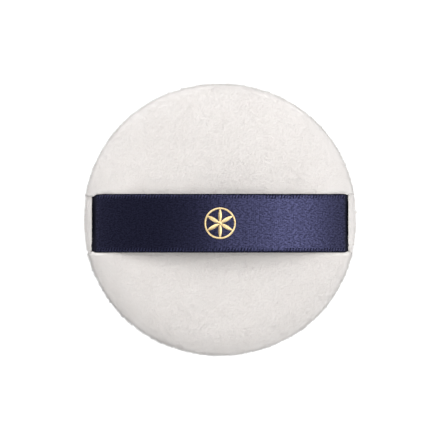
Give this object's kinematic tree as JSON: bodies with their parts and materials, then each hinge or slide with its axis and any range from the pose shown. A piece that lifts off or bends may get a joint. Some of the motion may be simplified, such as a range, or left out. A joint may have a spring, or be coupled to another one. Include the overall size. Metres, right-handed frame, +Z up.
{
  "type": "powder puff",
  "caption": "Round plush powder puff, sewn from pile covers over a foam disc, with a satin ribbon bowed across its back to slip fingers under.",
  "frame": {"origin": "middle of the flat on which the powder face rests, under the centre of the pad's round outline", "axes": "+Z up through the pad to its ribboned back, +X along the ribbon, +Y across the ribbon, towards the hand-closed stretch of the seam"},
  "size_m": [0.075, 0.075, 0.0231],
  "materials": {
    "plush_pile": "matte",
    "foam": "matte",
    "satin_ribbon": "satin",
    "gold_foil": "gloss",
    "white_thread": "matte",
    "navy_thread": "matte"
  },
  "bodies": {
    "root": {"face_cover": "plush_pile", "back_cover": "plush_pile", "foam_core": "foam", "ribbon_strap": "satin_ribbon", "foil_rosette": "gold_foil", "seam_needle_thread": "white_thread", "seam_bobbin_thread": "white_thread", "right_ribbon_tack": "navy_thread", "left_ribbon_tack": "navy_thread", "closing_thread": "white_thread"}
  },
  "joints": []
}
